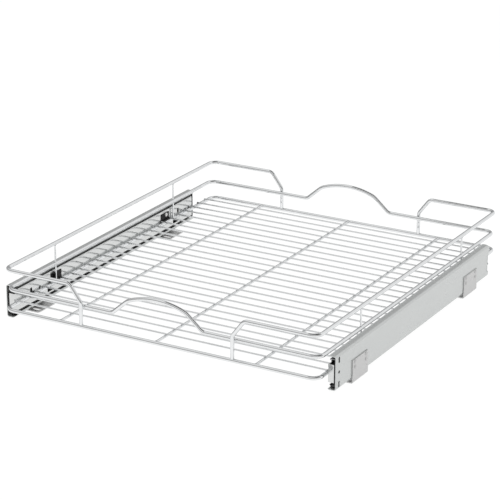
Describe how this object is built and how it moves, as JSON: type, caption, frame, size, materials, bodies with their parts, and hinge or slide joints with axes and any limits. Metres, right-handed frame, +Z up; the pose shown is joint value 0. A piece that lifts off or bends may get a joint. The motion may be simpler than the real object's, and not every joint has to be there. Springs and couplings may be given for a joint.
{
  "type": "pull out cabinet basket",
  "caption": "Chrome wire pull-out basket on telescopic ball-bearing slides, with finger arches front and rear and foot brackets that screw to the cabinet floor.",
  "frame": {"origin": "centre of the base, on the cabinet floor that the four feet stand on", "axes": "+X to the right, +Y to the back of the cabinet, +Z up; the basket pulls out towards -Y"},
  "size_m": [0.5318, 0.5768, 0.0912],
  "materials": {
    "chrome_wire": "bright chrome-plated steel wire",
    "zinc_slide": "bright zinc-plated rolled steel",
    "dark_steel": "rolled steel, blackened and greased",
    "zinc_bracket": "zinc-plated pressed steel",
    "plated_fastener": "zinc-plated steel",
    "ball_steel": "polished hardened steel",
    "black_plastic": "black moulded plastic",
    "black_rubber": "black moulded rubber"
  },
  "bodies": {
    "cabinet_side": {"cabinet_member_left": "zinc_slide", "cabinet_member_right": "zinc_slide", "foot_bracket_front_left": "zinc_bracket", "foot_bracket_front_right": "zinc_bracket", "foot_bracket_rear_left": "zinc_bracket", "foot_bracket_rear_right": "zinc_bracket", "bracket_rivets_left": "plated_fastener", "bracket_rivets_right": "plated_fastener", "track_stops_left": "black_plastic", "track_stops_right": "black_plastic", "rear_bumper_left": "black_rubber", "rear_bumper_right": "black_rubber"},
    "basket": {"drawer_member_left": "zinc_slide", "drawer_member_right": "zinc_slide", "front_clip_left": "black_plastic", "front_clip_right": "black_plastic", "rear_clip_left": "black_plastic", "rear_clip_right": "black_plastic", "clip_screws": "plated_fastener", "bottom_frame": "chrome_wire", "mid_rail": "chrome_wire", "upper_rail_left": "chrome_wire", "upper_rail_right": "chrome_wire", "runner_left": "chrome_wire", "runner_center": "chrome_wire", "runner_right": "chrome_wire", "cross_wires": "chrome_wire", "side_post_front_left": "chrome_wire", "side_post_front_right": "chrome_wire", "side_post_rear_left": "chrome_wire", "side_post_rear_right": "chrome_wire"},
    "intermediate_left": {"intermediate_member_left": "dark_steel"},
    "outer_cage_left": {"outer_ball_cage_left": "black_plastic", "outer_balls_left": "ball_steel"},
    "inner_cage_left": {"inner_ball_cage_left": "black_plastic", "inner_balls_left": "ball_steel"},
    "intermediate_right": {"intermediate_member_right": "dark_steel"},
    "outer_cage_right": {"outer_ball_cage_right": "black_plastic", "outer_balls_right": "ball_steel"},
    "inner_cage_right": {"inner_ball_cage_right": "black_plastic", "inner_balls_right": "ball_steel"}
  },
  "joints": [
    {"name": "basket_slide", "type": "slide", "parent": "cabinet_side", "child": "basket", "axis": [0, -1, 0], "range_m": [0, 0.484]},
    {"name": "intermediate_left_slide", "type": "slide", "parent": "cabinet_side", "child": "intermediate_left", "axis": [0, -1, 0], "range_m": [0, 0.242]},
    {"name": "outer_cage_left_slide", "type": "slide", "parent": "cabinet_side", "child": "outer_cage_left", "axis": [0, -1, 0], "range_m": [0, 0.121]},
    {"name": "inner_cage_left_slide", "type": "slide", "parent": "cabinet_side", "child": "inner_cage_left", "axis": [0, -1, 0], "range_m": [0, 0.363]},
    {"name": "intermediate_right_slide", "type": "slide", "parent": "cabinet_side", "child": "intermediate_right", "axis": [0, -1, 0], "range_m": [0, 0.242]},
    {"name": "outer_cage_right_slide", "type": "slide", "parent": "cabinet_side", "child": "outer_cage_right", "axis": [0, -1, 0], "range_m": [0, 0.121]},
    {"name": "inner_cage_right_slide", "type": "slide", "parent": "cabinet_side", "child": "inner_cage_right", "axis": [0, -1, 0], "range_m": [0, 0.363]}
  ],
  "couplings": [
    {"joint": "intermediate_left_slide", "follows": "basket_slide", "ratio": 0.5},
    {"joint": "outer_cage_left_slide", "follows": "basket_slide", "ratio": 0.25},
    {"joint": "inner_cage_left_slide", "follows": "basket_slide", "ratio": 0.75},
    {"joint": "intermediate_right_slide", "follows": "basket_slide", "ratio": 0.5},
    {"joint": "outer_cage_right_slide", "follows": "basket_slide", "ratio": 0.25},
    {"joint": "inner_cage_right_slide", "follows": "basket_slide", "ratio": 0.75}
  ]
}
